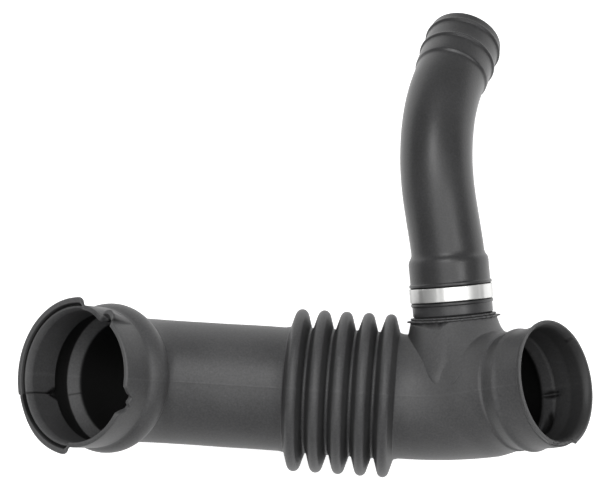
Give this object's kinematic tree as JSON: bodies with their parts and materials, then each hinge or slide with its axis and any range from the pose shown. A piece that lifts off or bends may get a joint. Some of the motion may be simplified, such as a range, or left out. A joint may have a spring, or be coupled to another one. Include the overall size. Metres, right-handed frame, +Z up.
{
  "type": "air intake hose",
  "caption": "Moulded rubber engine air intake hose: bellows tube between two turned cups, with a tee stub and a bent branch hose held on it by a crimped metal ring",
  "frame": {"origin": "middle of the underside of the whole hose's box, on the surface that it lies on", "axes": "+X along the straight tube towards the tee, +Y towards the branch hose, +Z up from the surface"},
  "size_m": [0.3167, 0.2674, 0.1154],
  "materials": {
    "duct_rubber": "satin moulded, with faint bloom",
    "branch_rubber": "smooth semi-gloss moulded",
    "ring_metal": "bright, lightly brushed round the ring"
  },
  "bodies": {
    "root": {"main_hose": "duct_rubber", "branch_hose": "branch_rubber", "crimp_ring": "ring_metal"}
  },
  "joints": []
}
